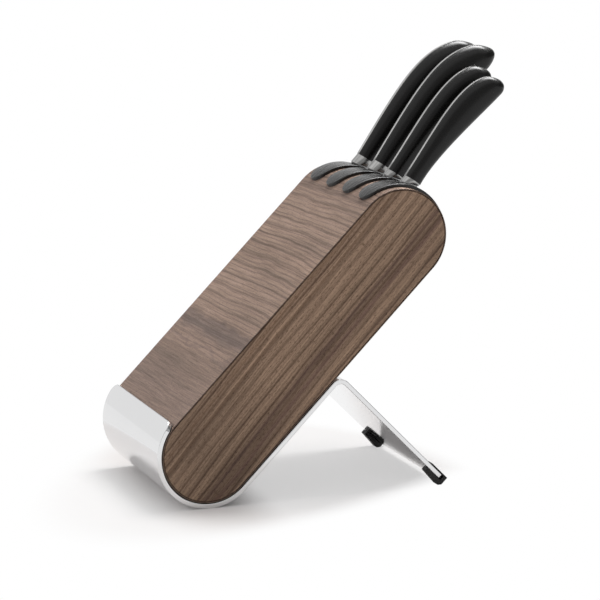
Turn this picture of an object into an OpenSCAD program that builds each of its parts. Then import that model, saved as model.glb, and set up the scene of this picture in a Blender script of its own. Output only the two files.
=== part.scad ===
// Tilted walnut knife block on a bent steel stand, with magnets beside its slots and four knives.
// Block frame: X runs up the block from the centre of its lower round end, Y runs across the slots
// and Z points out of the front strip. place_block() tilts that frame and stands it on the table.

/* [Block] */
// Length of the block over both round ends
block_len = 296; // [270:1:330]
// Thickness of the block, which is the diameter of its round ends
block_thick = 74; // [70:1:82]
// Width of the block across the slots
block_w = 145; // [140:1:160]
// Tilt of the block from the table, in degrees
block_tilt = 45.5; // [42:0.5:48]
// Thickness of the bent walnut veneer round the block
wrap_t = 0.8; // [0.7:0.1:1.5]
// Eased outer edge of the veneer
wrap_ease = 0.3; // [0.2:0.1:0.5]
// Eased outer edge of the side panels
panel_ease = 0.5; // [0.3:0.1:1]

/* [Slots] */
// Distance between the middles of neighbouring slots
slot_pitch = 35; // [32:0.5:36]
// Width of a slot between its two boards
slot_w = 6; // [5.6:0.1:8]
// Height of a slot across the thickness of the block
slot_h = 50; // [48:1:54]
// Floor of the slots above the centre of the lower round end
slot_floor = 8; // [0:1:20]

/* [Slot liners] */
// Width of the raised liner
liner_w = 22; // [18:0.5:24]
// Rise of the liner above the wrap
liner_rise = 2.9; // [1.6:0.1:3]
// How far the liner's round tips stop short of the straight strips
liner_setback = 1.5; // [1:0.5:8]
// Depth of the liner's spigot, from the crown of the liner
liner_depth = 33; // [28:1:40]
// Wall of the spigot round the blade slit
liner_wall = 1.3; // [1:0.1:1.5]

/* [Magnets] */
// Diameter of a slot magnet
magnet_d = 12; // [8:0.5:14]
// Thickness of a slot magnet
magnet_t = 4; // [3:0.5:6]
// Distance of the upper magnet below the centre of the upper round end
magnet_drop = 14; // [10:1:24]
// Distance between the two magnets of a slot
magnet_pitch = 30; // [20:1:40]
// Height of the magnets above the middle plane of the block
magnet_lift = 10; // [4:1:14]

/* [Stand] */
// Thickness of the steel sheet
sheet_t = 3.6; // [2.8:0.1:4]
// Thickness of the black pad between wood and steel
pad_t = 0.7; // [0.6:0.1:1.5]
// How far the pad stays back from the edges of the sheet
pad_inset = 0.6; // [0.2:0.1:1.5]
// Outer face of the leg, along the block from the centre of the lower round end
leg_reach = 113; // [100:1:130]
// Inner radius of the bend between seat and leg
bend_r = 5; // [3:0.5:8]
// How far the leg leans in under the seat from square, in degrees
leg_lean = 0.8; // [0:0.1:3]
// How far each side of the leg draws in towards its foot
leg_narrow = 4.5; // [3.5:0.5:16]
// Corner radius at the foot of the leg
leg_corner_r = 4; // [2:0.5:8]
// How far the lip stops short of the front strip
lip_setback = 1; // [0:0.5:6]
// Corner radius of the lip
lip_corner_r = 8; // [4:0.5:14]

/* [Stand screws] */
// Diameter of the screw shank
screw_d = 5; // [4:0.5:6]
// Diameter of the countersunk head
screw_head_d = 10; // [9:0.5:12]
// Height of the countersunk head
screw_head_h = 2.6; // [2:0.1:3]
// Length of the screw with its head
screw_len = 18; // [16:1:24]
// Width across the flats of the hexagon socket
screw_socket = 3; // [2.5:0.5:4]
// First pair of screws, along the block from the centre of the lower round end
screw_near = 28; // [20:1:40]
// Second pair of screws
screw_far = 84; // [70:1:92]
// Outside diameter of the threaded insert
insert_d = 8; // [7:0.5:10]
// Length of the threaded insert
insert_len = 12; // [10:1:14]

/* [Feet] */
// Length of a rubber foot across the leg
foot_w = 8; // [5:0.5:16]
// Length of a foot's leaves up the leg
foot_leaf = 15; // [12:1:24]
// Thickness of the leaf under the leg, at its upper end
foot_top_t = 3.6; // [2.5:0.1:5]
// Thickness of the leaf under the leg, at the foot's lower end
foot_under_t = 4.6; // [3:0.1:6]
// Thickness of the leaf behind the leg
foot_over_t = 1.2; // [1:0.1:2.5]
// Thickness of the foot below the edge of the leg
foot_base_t = 3.2; // [2:0.1:4]
// Radius of the foot's round heel
foot_round = 3; // [2:0.1:4]
// Depth of the flat on which the heel stands
foot_flat = 0.4; // [0.2:0.1:0.8]

/* [Blades] */
// Length of the bread knife's blade
bread_blade = 220; // [190:1:225]
// Height of the bread knife's blade
bread_blade_h = 32; // [28:1:36]
// Length of the cook's knife's blade
cooks_blade = 200; // [180:1:220]
// Height of the cook's knife's blade
cooks_blade_h = 43; // [38:1:44]
// Length of the utility knife's blade
utility_blade = 140; // [120:1:160]
// Height of the utility knife's blade
utility_blade_h = 27; // [24:1:32]
// Length of the paring knife's blade
paring_blade = 100; // [80:1:110]
// Height of the paring knife's blade
paring_blade_h = 22; // [20:1:26]
// Thickness of every blade at its spine
blade_t = 2.2; // [1.8:0.1:2.4]
// Thickness of every blade at its edge
edge_t = 0.4; // [0.3:0.1:0.8]
// Distance between the scallops of the bread knife
scallop_pitch = 8; // [6:0.5:12]
// Depth of the scallops of the bread knife
scallop_depth = 1.4; // [0.8:0.1:2.5]

/* [Handles] */
// Length of the two large handles
large_handle = 130; // [120:1:136]
// Length of the utility knife's handle
utility_handle = 111; // [100:1:118]
// Length of the paring knife's handle
paring_handle = 105; // [96:1:114]
// Thickness of a large handle, the others in proportion
handle_t = 19; // [16:0.5:22]
// Thickness of the tang between the two scales
tang_t = 2.4; // [2:0.1:3]
// Length of the bolster along the spine of a large knife
large_bolster = 8.4; // [8:0.2:12]
// Length of the bolster along the spine of a small knife
small_bolster = 5.4; // [5:0.2:8]
// Height of every handle's spine above the middle plane of the block, at the bolster
spine_lift = 23.3; // [22:0.1:23.5]

/* [Hidden] */
$fn = 96;

// Clearances: glue and pressed joints, bores round their pins, and what slides
seat_gap = 0.15;
bore_gap = 0.1;
slide_gap = 0.4;
// Overlap of solids that belong to one piece, and length of a cutter past a face
merge = 1;
past = 5;

// Block
block_r = block_thick / 2;
block_run = block_len - block_thick;
board_r = block_r - wrap_t - seat_gap;
board_t = slot_pitch - slot_w;
slot_count = 4;
outer_slot_y = slot_pitch * (slot_count - 1) / 2;
panel_t = block_w / 2 - outer_slot_y - slot_w / 2;

// Slot liners
crown_r = block_r + liner_rise;
spigot_w = slot_w - 2 * bore_gap;
spigot_h = slot_h - 2 * bore_gap;
slit_w = spigot_w - 2 * liner_wall;
slit_h = spigot_h - 2 * liner_wall;
liner_tip_angle = acos(liner_setback / block_r) - 180 / PI * (liner_w / 2) / block_r;

// Stand
cradle_in = block_r + pad_t;
cradle_out = cradle_in + sheet_t;
bend_x = leg_reach - sheet_t - bend_r;
bend_z = -cradle_out - bend_r;

// Leg and feet, from the axis of the bend: X out of the leg, Z up the leg
leg_in = bend_r;
leg_out = bend_r + sheet_t;
leg_slope = block_tilt - leg_lean;
bend_height = cradle_out + bend_x * sin(block_tilt) + bend_z * cos(block_tilt);
heel_x = leg_in - foot_under_t + foot_round;
heel_z = (foot_round - foot_flat - bend_height - heel_x * sin(leg_slope)) / cos(leg_slope);
foot_end = heel_z - foot_round;
leg_end = foot_end + foot_base_t;
leg_foot_w = block_w - 2 * leg_narrow;
leg_taper = atan(leg_narrow / -leg_end);
screw_xs = [screw_near, screw_far];
screw_ys = [-slot_pitch, slot_pitch];

// Handle curves, drawn for one length, from the top of the bolster to the butt
model_handle = 130;
large_spine = [[0, 0], [76.5, 15.3], [101, 20], [130, -5]];
large_belly = [[3, -17.5], [41.5, -18.3], [79, -16], [130, -22]];
small_spine = [[0, 0], [54.5, 8.2], [108.5, 24.7], [130, -2.3]];
small_belly = [[3, -17.5], [37.5, -8.6], [107, -19.4], [130, -18]];
grip_stations = 20;
grip_sides = 10;
// Share of the full thickness at the bolster, and where along the handle it is full and rounds off
neck_share = 0.74;
full_at = 0.6;
round_at = 0.89;

// Bolster: rings along it, and share of its thickness left at its foot on the liner
bolster_steps = 5;
bolster_foot = 0.9;
// Depth of a screw's socket as a share of its head
socket_share = 0.7;

// Blade outlines as shares of the length or the height: where the spine starts to fall, where it
// nears the point, how far the edge runs straight, where it nears the point and how far it hangs there
blade_points = 14;
spine_fall = 0.3;
spine_near = 0.08;
edge_run = 0.5;
edge_near = 0.1;
edge_hang = 0.3;
// Share of the height that keeps the full thickness, and share of the length with scallops
full_share = 0.3;
scallop_share = 0.45;
// Step from the bolster down to the spine of the blade, and from the bolster back to the heel
blade_inset = 0.8;
heel_back = 6;

// Each knife: blade length, blade height, handle length, bolster length, drop of the point as a share
// of the blade's height, scallops, spine and belly of the handle
knives = [
  [bread_blade, bread_blade_h, large_handle, large_bolster, 0.62, true, large_spine, large_belly],
  [cooks_blade, cooks_blade_h, large_handle, large_bolster, 0.40, false, large_spine, large_belly],
  [utility_blade, utility_blade_h, utility_handle, small_bolster, 0.45, false, small_spine, small_belly],
  [paring_blade, paring_blade_h, paring_handle, small_bolster, 0.50, false, small_spine, small_belly]
];

function slot_y(k) = outer_slot_y - (k - 1) * slot_pitch;
function scale_of(k) = knives[k - 1][2] / model_handle;
function bolster_h(k) = -knives[k - 1][7][0][1] * scale_of(k);

// The bolster's foot is a plane that touches the crown of the liner
function foot_angle(k) = asin((spine_lift - bolster_h(k) / 2) / crown_r);
function foot_x(k, z) = (crown_r + slide_gap - z * sin(foot_angle(k))) / cos(foot_angle(k));
function neck_x(k) = foot_x(k, spine_lift) + knives[k - 1][3];

function bezier(p, t) =
  pow(1 - t, 3) * p[0] + 3 * pow(1 - t, 2) * t * p[1] + 3 * (1 - t) * t * t * p[2] + pow(t, 3) * p[3];
function station(i) = sin(90 * i / grip_stations);

// The butt closes like a ball, in height and in thickness
function closing(t) = sqrt(1 - pow(max(0, (t - round_at) / (1 - round_at)), 2));
function on_handle(k, t, way) =
  let (s = bezier(knives[k - 1][6], t), b = bezier(knives[k - 1][7], t))
  [neck_x(k), spine_lift] + scale_of(k) / 2 * (s + b + way * closing(t) * (s - b));
function on_spine(k, t) = on_handle(k, t, 1);
function on_belly(k, t) = on_handle(k, t, -1);
function grip_half(k, t) =
  handle_t / 2 * scale_of(k) * closing(t)
  * (neck_share + (1 - neck_share) * sin(90 * min(1, t / full_at)));
function handle_outline(k) = concat(
  [for (i = [0:grip_stations]) on_spine(k, station(i))],
  [for (i = [grip_stations - 1:-1:0]) on_belly(k, station(i))]
);

// Origin: middle of the table under the whole object, from the lip to the furthest butt
function across(p) = p[0] * cos(block_tilt) - p[1] * sin(block_tilt);
butt_reach = max([
  for (k = [1:slot_count]) for (p = handle_outline(k)) across(p + [block_run, 0])
]);
origin_x = (butt_reach - cradle_out) / 2;

module place_block() {
  translate([-origin_x, 0, cradle_out]) rotate([0, -block_tilt, 0]) children();
}

module place_leg() {
  translate([bend_x, 0, bend_z]) rotate([0, leg_lean, 0]) children();
}

// A bar along Y with its middle at the origin
module rod(r, len) {
  rotate([90, 0, 0]) cylinder(r = r, h = len, center = true);
}

// A box given by its limits
module limits(x, y, z) {
  translate([x[0], y[0], z[0]]) cube([x[1] - x[0], y[1] - y[0], z[1] - z[0]]);
}

// A flat board with the block's round-ended outline
module board(r, t) {
  for (x = [0, block_run]) translate([x, 0, 0]) rod(r, t);
  limits([0, block_run], [-t / 2, t / 2], [-r, r]);
}

// The same board with one eased edge, on its +Y face
module eased_board(r, t, ease) {
  section = [[0, -t / 2], [r, -t / 2], [r, t / 2 - ease], [r - ease, t / 2], [0, t / 2]];
  for (x = [0, block_run]) translate([x, 0, 0]) rotate([-90, 0, 0]) rotate_extrude() polygon(section);
  for (side = [0, 1]) mirror([0, 0, side]) rotate([90, 0, 90])
    linear_extrude(block_run) polygon([for (p = section) [p[1], p[0]]]);
}

// Stand: lip, cradle, seat, bend and leg in one bent sheet
module stand_sheet() {
  color("gainsboro") place_block() difference() {
    union() {
      cradle_ring(cradle_in, cradle_out, block_w, lip_setback);
      limits([0, bend_x], [-block_w / 2, block_w / 2], [-cradle_out, -cradle_in]);
      translate([bend_x, 0, bend_z]) {
        bend();
        leg();
      }
    }
    lip_corners();
    for (x = screw_xs) for (y = screw_ys) translate([x, y, -cradle_out]) screw_hole();
  }
}

// Half ring round the lower end, from the front strip round the heel to the back strip
module cradle_ring(r_in, r_out, w, setback) {
  difference() {
    rod(r_out, w);
    rod(r_in, w + past);
    limits([0, r_out + past], [-w, w], [-r_out - past, r_out + past]);
    limits([-setback, r_out], [-w, w], [0, r_out + past]);
  }
}

module lip_corners() {
  for (side = [0, 1]) mirror([0, side, 0]) difference() {
    limits(
      [-lip_setback - lip_corner_r, past], [block_w / 2 - lip_corner_r, block_w / 2 + past],
      [cradle_in - lip_corner_r, cradle_out + past]
    );
    translate([-lip_setback - lip_corner_r, block_w / 2 - lip_corner_r, 0])
      cylinder(r = lip_corner_r, h = cradle_out + 2 * past);
  }
}

// A quarter ring, from the end of the seat to the top of the leg
module bend() {
  difference() {
    rod(leg_out, block_w);
    rod(leg_in, block_w + past);
    limits([-leg_reach, 0], [-block_w, block_w], [-leg_reach, leg_reach]);
    limits([-leg_reach, leg_reach], [-block_w, block_w], [-leg_reach, 0]);
  }
}

// The leg leans in a little, and narrows towards its foot, where its corners are round
module leg() {
  run_in = leg_end * tan(leg_lean);
  side = [[leg_in, 0], [leg_out, 0], [leg_out + run_in, leg_end], [leg_in + run_in, leg_end]];
  corner_z = leg_end + leg_corner_r;
  corner_y = leg_foot_w / 2 + leg_corner_r * (tan(leg_taper) - 1 / cos(leg_taper));
  side_y = corner_y + leg_corner_r * cos(leg_taper);
  side_z = corner_z - leg_corner_r * sin(leg_taper);
  half = [[block_w / 2, 0], [side_y, side_z], [corner_y, corner_z], [corner_y, leg_end]];
  outline = concat(half, [for (i = [len(half) - 1:-1:0]) [-half[i][0], half[i][1]]]);
  intersection() {
    rotate([90, 0, 0]) linear_extrude(block_w, center = true) polygon(side);
    translate([run_in - past, 0, 0]) {
      rotate([90, 0, 90]) linear_extrude(leg_out - run_in + 2 * past) polygon(outline);
      for (y = [-corner_y, corner_y]) translate([0, y, corner_z]) rotate([0, 90, 0])
        cylinder(r = leg_corner_r, h = leg_out - run_in + 2 * past);
    }
  }
}

// Countersunk hole from the outer face of the seat
module screw_hole() {
  sink = (screw_head_d - screw_d) / 2 / screw_head_h;
  translate([0, 0, -past]) cylinder(d = screw_d + 4 * bore_gap, h = sheet_t + 2 * past);
  cylinder(
    r1 = screw_head_d / 2 + bore_gap, r2 = screw_head_d / 2 + bore_gap - sink * screw_head_h,
    h = screw_head_h
  );
  translate([0, 0, -past]) cylinder(r = screw_head_d / 2 + bore_gap, h = past);
}

// Pad: keeps the wood off the steel, from the lip to the bend
module cradle_pad() {
  r_in = block_r + seat_gap;
  r_out = cradle_in - seat_gap;
  w = block_w - 2 * pad_inset;
  color("#161616") place_block() difference() {
    union() {
      cradle_ring(r_in, r_out, w, lip_setback + pad_inset);
      limits([0, bend_x], [-w / 2, w / 2], [-r_out, -r_in]);
    }
    for (x = screw_xs) for (y = screw_ys) translate([x, y, -cradle_out])
      cylinder(d = screw_d + 4 * bore_gap, h = sheet_t + pad_t + past);
    lip_corners();
  }
}

// Feet: rubber clips over the lower corners of the leg, flat where they stand
module foot(side) {
  leaf_top = leg_end + foot_leaf;
  back = leg_out + foot_over_t;
  y_out = leg_foot_w / 2 + leg_corner_r * tan(leg_taper);
  color("#141414") difference() {
    place_block() place_leg() mirror([0, side < 0 ? 1 : 0, 0]) translate([0, y_out, 0])
      rotate([90, 0, 0]) linear_extrude(foot_w) difference() {
        union() {
          polygon([
            [leg_in - foot_top_t, leaf_top], [heel_x - foot_round, heel_z], [heel_x, heel_z],
            [heel_x, foot_end], [back, foot_end], [back, leaf_top]
          ]);
          translate([heel_x, heel_z]) circle(foot_round);
        }
        translate([leg_in - seat_gap, leg_end - seat_gap])
          square([sheet_t + 2 * seat_gap, foot_leaf + past]);
      }
    limits([-block_len, block_len], [-block_w, block_w], [-block_thick, 0]);
  }
}

module foot_near() { foot(-1); }
module foot_far() { foot(1); }

module stand_screws() {
  sink = (screw_head_d - screw_d) / 2 / screw_head_h;
  color("silver") place_block() for (x = screw_xs) for (y = screw_ys) translate([x, y, -cradle_out])
    difference() {
      union() {
        cylinder(r1 = screw_head_d / 2, r2 = screw_head_d / 2 - sink * screw_head_h, h = screw_head_h);
        cylinder(d = screw_d, h = screw_len);
      }
      translate([0, 0, -past])
        cylinder(d = screw_socket / cos(30), h = past + screw_head_h * socket_share, $fn = 6);
    }
}

module threaded_inserts() {
  color("darkgoldenrod") place_block() for (x = screw_xs) for (y = screw_ys)
    translate([x, y, -board_r + seat_gap]) difference() {
      cylinder(d = insert_d, h = insert_len);
      translate([0, 0, -past]) cylinder(d = screw_d + 2 * bore_gap, h = insert_len + 2 * past);
    }
}

// Wrap: the bent walnut veneer round the block, open at the four slots
module walnut_wrap() {
  w = block_w / 2;
  section = [
    [block_r - wrap_t, -w], [block_r - wrap_ease, -w], [block_r, wrap_ease - w],
    [block_r, w - wrap_ease], [block_r - wrap_ease, w], [block_r - wrap_t, w]
  ];
  color("#8d796d") place_block() difference() {
    union() {
      for (end = [[0, 90], [block_run, -90]])
        translate([end[0], 0, 0]) rotate([90, 0, 0]) rotate([0, 0, end[1]])
          rotate_extrude(angle = 180) polygon(section);
      for (side = [0, 1]) mirror([0, 0, side]) rotate([90, 0, 90])
        linear_extrude(block_run) polygon([for (p = section) [p[1], p[0]]]);
    }
    for (k = [1:slot_count]) slot_cut(k);
    for (x = screw_xs) for (y = screw_ys) translate([x, y, -block_r - past])
      cylinder(d = screw_d + 4 * bore_gap, h = wrap_t + 2 * past);
  }
}

// Room for the blade and the spigot, open at the upper round end
module slot_cut(k) {
  limits(
    [slot_floor, block_run + block_r + past],
    [slot_y(k) - slot_w / 2, slot_y(k) + slot_w / 2], [-slot_h / 2, slot_h / 2]
  );
}

// Blind bores for the magnets in the board on the +Y side of a slot
module magnet_bores(k) {
  translate([0, slot_y(k) + slot_w / 2, 0]) magnet_pair(magnet_d + 2 * bore_gap, magnet_t + bore_gap, past);
}

module magnet_pair(d, depth, lead) {
  for (i = [0, 1]) translate([block_run - magnet_drop - i * magnet_pitch, -lead, magnet_lift])
    rotate([-90, 0, 0]) cylinder(d = d, h = depth + lead);
}

module side_panel_near() {
  color("#5d4a3b") place_block() translate([0, -block_w / 2 + panel_t / 2, 0])
    mirror([0, 1, 0]) eased_board(board_r, panel_t, panel_ease);
}

module side_panel_far() {
  color("#5d4a3b") place_block() difference() {
    translate([0, block_w / 2 - panel_t / 2, 0]) eased_board(board_r, panel_t, panel_ease);
    magnet_bores(1);
  }
}

// Core boards lie between neighbouring slots, and the outer two carry the screws of the stand
module core_board(i) {
  color("#77604f") place_block() difference() {
    translate([0, slot_y(i) - slot_pitch / 2, 0]) board(board_r, board_t);
    magnet_bores(i + 1);
    for (x = screw_xs) for (y = screw_ys) translate([x, y, -block_r])
      cylinder(d = insert_d + 2 * bore_gap, h = wrap_t + insert_len + screw_len / 2);
  }
}

module slot_spacer(k) {
  color("#86705f") place_block() difference() {
    translate([0, slot_y(k), 0]) board(board_r, slot_w);
    slot_cut(k);
  }
}

// Liner: a raised tongue over the crown with round tips, and a spigot with the blade slit
module slot_liner(k) {
  a = liner_tip_angle;
  color("#26272a") place_block() translate([block_run, slot_y(k), 0]) difference() {
    union() {
      rotate([90, 0, 0]) rotate([0, 0, -a]) rotate_extrude(angle = 2 * a)
        translate([block_r + seat_gap, -liner_w / 2]) square([liner_rise - seat_gap, liner_w]);
      for (tip = [-a, a]) intersection() {
        difference() {
          rod(crown_r, liner_w);
          rod(block_r + seat_gap, liner_w + past);
        }
        rotate([0, 90 - tip, 0]) cylinder(d = liner_w, h = crown_r + past);
      }
      intersection() {
        limits(
          [crown_r - liner_depth, crown_r], [-spigot_w / 2, spigot_w / 2],
          [-spigot_h / 2, spigot_h / 2]
        );
        rod(block_r + liner_rise / 2, slot_w);
      }
    }
    limits([-crown_r, crown_r + past], [-slit_w / 2, slit_w / 2], [-slit_h / 2, slit_h / 2]);
  }
}

module slot_magnets(k) {
  color("#8b8e91") place_block() translate([0, slot_y(k) + slot_w / 2 + seat_gap, 0])
    magnet_pair(magnet_d, magnet_t - seat_gap, 0);
}

module place_knife(k) {
  place_block() translate([block_run, slot_y(k), 0]) children();
}

// One half of a handle's section at a station, from the spine over the side to the belly
function half_section(k, t, inner, half) = [
  for (j = [0:grip_sides])
    let (
      s = on_spine(k, t),
      b = on_belly(k, t),
      c = (s + b) / 2 + (s - b) / 2 * cos(180 * j / grip_sides)
    )
    [c[0], inner + (half - inner) * sin(180 * j / grip_sides), c[1]]
];

// One handle scale on the +Y side: sections from the bolster that close in a point at the butt
module scale_half(k) {
  n = grip_sides + 1;
  rings = [
    for (i = [0:grip_stations - 1])
      half_section(k, station(i), tang_t / 2, max(grip_half(k, station(i)), tang_t / 2 + seat_gap))
  ];
  butt = on_spine(k, 1);
  points = concat([for (r = rings) each r], [[butt[0], tang_t / 2, butt[1]]]);
  last = (grip_stations - 1) * n;
  faces = concat(
    [[for (j = [n - 1:-1:0]) j]],
    [for (i = [0:grip_stations - 2]) for (j = [0:n - 1])
      [i * n + j, i * n + (j + 1) % n, (i + 1) * n + (j + 1) % n, (i + 1) * n + j]],
    [for (j = [0:n - 1]) [last + j, last + (j + 1) % n, len(points) - 1]]
  );
  polyhedron(points, faces);
}

module handle_scale(k, side) {
  color("#1b1a19") place_knife(k) mirror([0, side < 0 ? 1 : 0, 0]) scale_half(k);
}

// Bolster: flares from its foot on the liner to the section of the handle
function full_ring(s, b, half) = [
  for (j = [0:2 * grip_sides - 1])
    let (c = (s + b) / 2 + (s - b) / 2 * cos(180 * j / grip_sides))
    [c[0], half * sin(180 * j / grip_sides), c[1]]
];

module bolster(k) {
  steps = bolster_steps;
  n = 2 * grip_sides;
  belly = spine_lift - bolster_h(k);
  foot_s = [foot_x(k, spine_lift), spine_lift];
  foot_b = [foot_x(k, belly), belly];
  neck_s = on_spine(k, 0);
  neck_b = on_belly(k, 0);
  neck = grip_half(k, 0);
  foot = neck * bolster_foot;
  rings = [
    for (i = [0:steps])
      let (t = i / steps)
      full_ring(
        foot_s + (neck_s - foot_s) * t, foot_b + (neck_b - foot_b) * t,
        foot + (neck - foot) * sin(90 * t)
      )
  ];
  points = [for (r = rings) each r];
  faces = concat(
    [[for (j = [n - 1:-1:0]) j]],
    [for (i = [0:steps - 1]) for (j = [0:n - 1])
      [i * n + j, i * n + (j + 1) % n, (i + 1) * n + (j + 1) % n, (i + 1) * n + j]],
    [[for (j = [0:n - 1]) steps * n + j]]
  );
  polyhedron(points, faces);
}

// Blade: outline of spine, point, edge and heel, ground thinner from the spine to the edge
module blade(k) {
  length = knives[k - 1][0];
  height = knives[k - 1][1];
  drop = knives[k - 1][4];
  top = spine_lift - blade_inset;
  belly = spine_lift - bolster_h(k);
  root = foot_x(k, spine_lift);
  heel = root - heel_back;
  tip = [root - length, top - drop * height];
  spine = [
    [root + merge, top], [tip[0] + length * spine_fall, top], [tip[0] + length * spine_near, top - 1], tip
  ];
  edge = [
    [heel, top - height], [heel - length * edge_run, top - height],
    [tip[0] + length * edge_near, tip[1] - height * edge_hang], tip
  ];
  outline = concat(
    [for (i = [0:blade_points]) bezier(spine, i / blade_points)],
    [for (i = [blade_points - 1:-1:0]) bezier(edge, i / blade_points)],
    [[foot_x(k, belly) + merge, belly + 2 * merge]]
  );
  wedge = [
    [blade_t / 2, top + past], [blade_t / 2, top - height * full_share], [edge_t / 2, top - height],
    [-edge_t / 2, top - height], [-blade_t / 2, top - height * full_share], [-blade_t / 2, top + past]
  ];
  intersection() {
    rotate([90, 0, 0]) linear_extrude(blade_t, center = true) polygon(outline);
    translate([tip[0] - past, 0, 0]) rotate([90, 0, 90]) linear_extrude(length + block_r) polygon(wedge);
  }
}

// Scallops along the straight part of the edge
module scallops(k) {
  length = knives[k - 1][0];
  edge_z = spine_lift - blade_inset - knives[k - 1][1];
  r = (pow(scallop_pitch / 2, 2) + pow(scallop_depth, 2)) / 2 / scallop_depth;
  start = foot_x(k, spine_lift) - heel_back - scallop_pitch;
  for (i = [0:floor(length * scallop_share / scallop_pitch)])
    translate([start - i * scallop_pitch, 0, edge_z + scallop_depth - r]) rod(r, blade_t + past);
}

// Blade, bolster and tang are forged in one piece
module knife_blade(k) {
  color("#c9ccce") place_knife(k) {
    difference() {
      blade(k);
      if (knives[k - 1][5]) scallops(k);
    }
    bolster(k);
    tang(k);
  }
}

module tang(k) {
  neck_s = on_spine(k, 0);
  neck_b = on_belly(k, 0);
  root = [[neck_b[0] - merge, neck_b[1] + 2 * merge], [neck_s[0] - merge, neck_s[1] - 2 * merge]];
  rotate([90, 0, 0]) linear_extrude(tang_t, center = true) polygon(concat(handle_outline(k), root));
}

module bread_knife_blade() { knife_blade(1); }
module bread_knife_scale_near() { handle_scale(1, -1); }
module bread_knife_scale_far() { handle_scale(1, 1); }
module cooks_knife_blade() { knife_blade(2); }
module cooks_knife_scale_near() { handle_scale(2, -1); }
module cooks_knife_scale_far() { handle_scale(2, 1); }
module utility_knife_blade() { knife_blade(3); }
module utility_knife_scale_near() { handle_scale(3, -1); }
module utility_knife_scale_far() { handle_scale(3, 1); }
module paring_knife_blade() { knife_blade(4); }
module paring_knife_scale_near() { handle_scale(4, -1); }
module paring_knife_scale_far() { handle_scale(4, 1); }

stand_sheet();
cradle_pad();
foot_near();
foot_far();
stand_screws();
threaded_inserts();
walnut_wrap();
side_panel_near();
side_panel_far();
core_board(1);  // core_board_1
core_board(2);  // core_board_2
core_board(3);  // core_board_3
slot_spacer(1);  // slot_spacer_1
slot_spacer(2);  // slot_spacer_2
slot_spacer(3);  // slot_spacer_3
slot_spacer(4);  // slot_spacer_4
slot_liner(1);  // slot_liner_1
slot_liner(2);  // slot_liner_2
slot_liner(3);  // slot_liner_3
slot_liner(4);  // slot_liner_4
slot_magnets(1);  // slot_magnets_1
slot_magnets(2);  // slot_magnets_2
slot_magnets(3);  // slot_magnets_3
slot_magnets(4);  // slot_magnets_4
bread_knife_blade();
bread_knife_scale_near();
bread_knife_scale_far();
cooks_knife_blade();
cooks_knife_scale_near();
cooks_knife_scale_far();
utility_knife_blade();
utility_knife_scale_near();
utility_knife_scale_far();
paring_knife_blade();
paring_knife_scale_near();
paring_knife_scale_far();
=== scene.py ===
import math

import bmesh
import bpy
from mathutils import Matrix, Vector


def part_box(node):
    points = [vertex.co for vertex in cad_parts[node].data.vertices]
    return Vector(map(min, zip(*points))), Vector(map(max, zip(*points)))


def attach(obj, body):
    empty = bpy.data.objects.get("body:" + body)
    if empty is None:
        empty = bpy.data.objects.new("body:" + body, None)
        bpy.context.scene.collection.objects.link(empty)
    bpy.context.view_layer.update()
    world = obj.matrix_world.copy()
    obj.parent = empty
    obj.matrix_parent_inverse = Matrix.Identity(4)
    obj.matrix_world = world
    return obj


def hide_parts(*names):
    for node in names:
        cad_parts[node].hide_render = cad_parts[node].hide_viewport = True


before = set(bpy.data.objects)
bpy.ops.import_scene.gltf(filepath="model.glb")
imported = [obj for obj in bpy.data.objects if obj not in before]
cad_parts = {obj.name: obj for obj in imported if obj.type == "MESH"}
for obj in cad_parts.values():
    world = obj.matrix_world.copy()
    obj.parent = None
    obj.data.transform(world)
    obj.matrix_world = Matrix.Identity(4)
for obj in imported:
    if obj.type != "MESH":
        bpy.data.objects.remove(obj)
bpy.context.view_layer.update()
mm = 0.001
quarterTurn = math.pi / 2
mergeShare = 2e-6  # points closer than this share of a piece's reach become one

# Millimetres in the block's own frame: X up the block, Y across the slots, Z out of the front strip
block = {
    "radius": 37.0,
    "run": 222.0,  # between the centres of the round ends
    "width": 145.0,
    "tilt": math.radians(45.5),
    "standOut": 41.3,  # from a round end's centre to the outside of the steel
    "slots": 4,
    "slotPitch": 35.0,
    "slotWidth": 6.0,
    "slotHeight": 50.0,
}
halfWidth = block["width"] / 2
slotNumbers = range(1, block["slots"] + 1)
slotMiddles = [((block["slots"] - 1) / 2 - k) * block["slotPitch"] for k in range(block["slots"])]
lowCentre = Vector((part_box("stand_sheet")[0].x / mm + block["standOut"], 0, block["standOut"]))
tilted = Matrix.Rotation(-block["tilt"], 4, "Y")
toPart = Matrix.Scale(mm, 4) @ Matrix.Translation(lowCentre) @ tilted
topCentre = toPart @ Matrix.Translation((block["run"], 0, 0))

scene = bpy.context.scene


def shown(name, mesh):
    piece = bpy.data.objects.new(name, mesh)
    scene.collection.objects.link(piece)
    return piece


def cleanMesh(name, points, faces):
    mesh = bpy.data.meshes.new(name)
    mesh.from_pydata(points, [], faces)
    work = bmesh.new()
    work.from_mesh(mesh)
    reach = max(v.co.length for v in work.verts)
    bmesh.ops.remove_doubles(work, verts=work.verts, dist=reach * mergeShare)
    bmesh.ops.recalc_face_normals(work, faces=work.faces)
    work.to_mesh(mesh)
    work.free()
    return mesh


def ringLoft(rings, caps=True):
    count = len(rings[0])
    faces = []
    for i in range(len(rings) - 1):
        a, b = i * count, (i + 1) * count
        faces += [(a + j, a + (j + 1) % count, b + (j + 1) % count, b + j) for j in range(count)]
    if caps:
        last = (len(rings) - 1) * count
        faces += [tuple(range(count))[::-1], tuple(range(last, last + count))]
    return [p for ring in rings for p in ring], faces


def turned(profile, sides):
    # rings round Z from (radius, height) pairs
    turns = [2 * math.pi * j / sides for j in range(sides)]
    return [[(r * math.cos(turn), r * math.sin(turn), z) for turn in turns] for r, z in profile]


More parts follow.
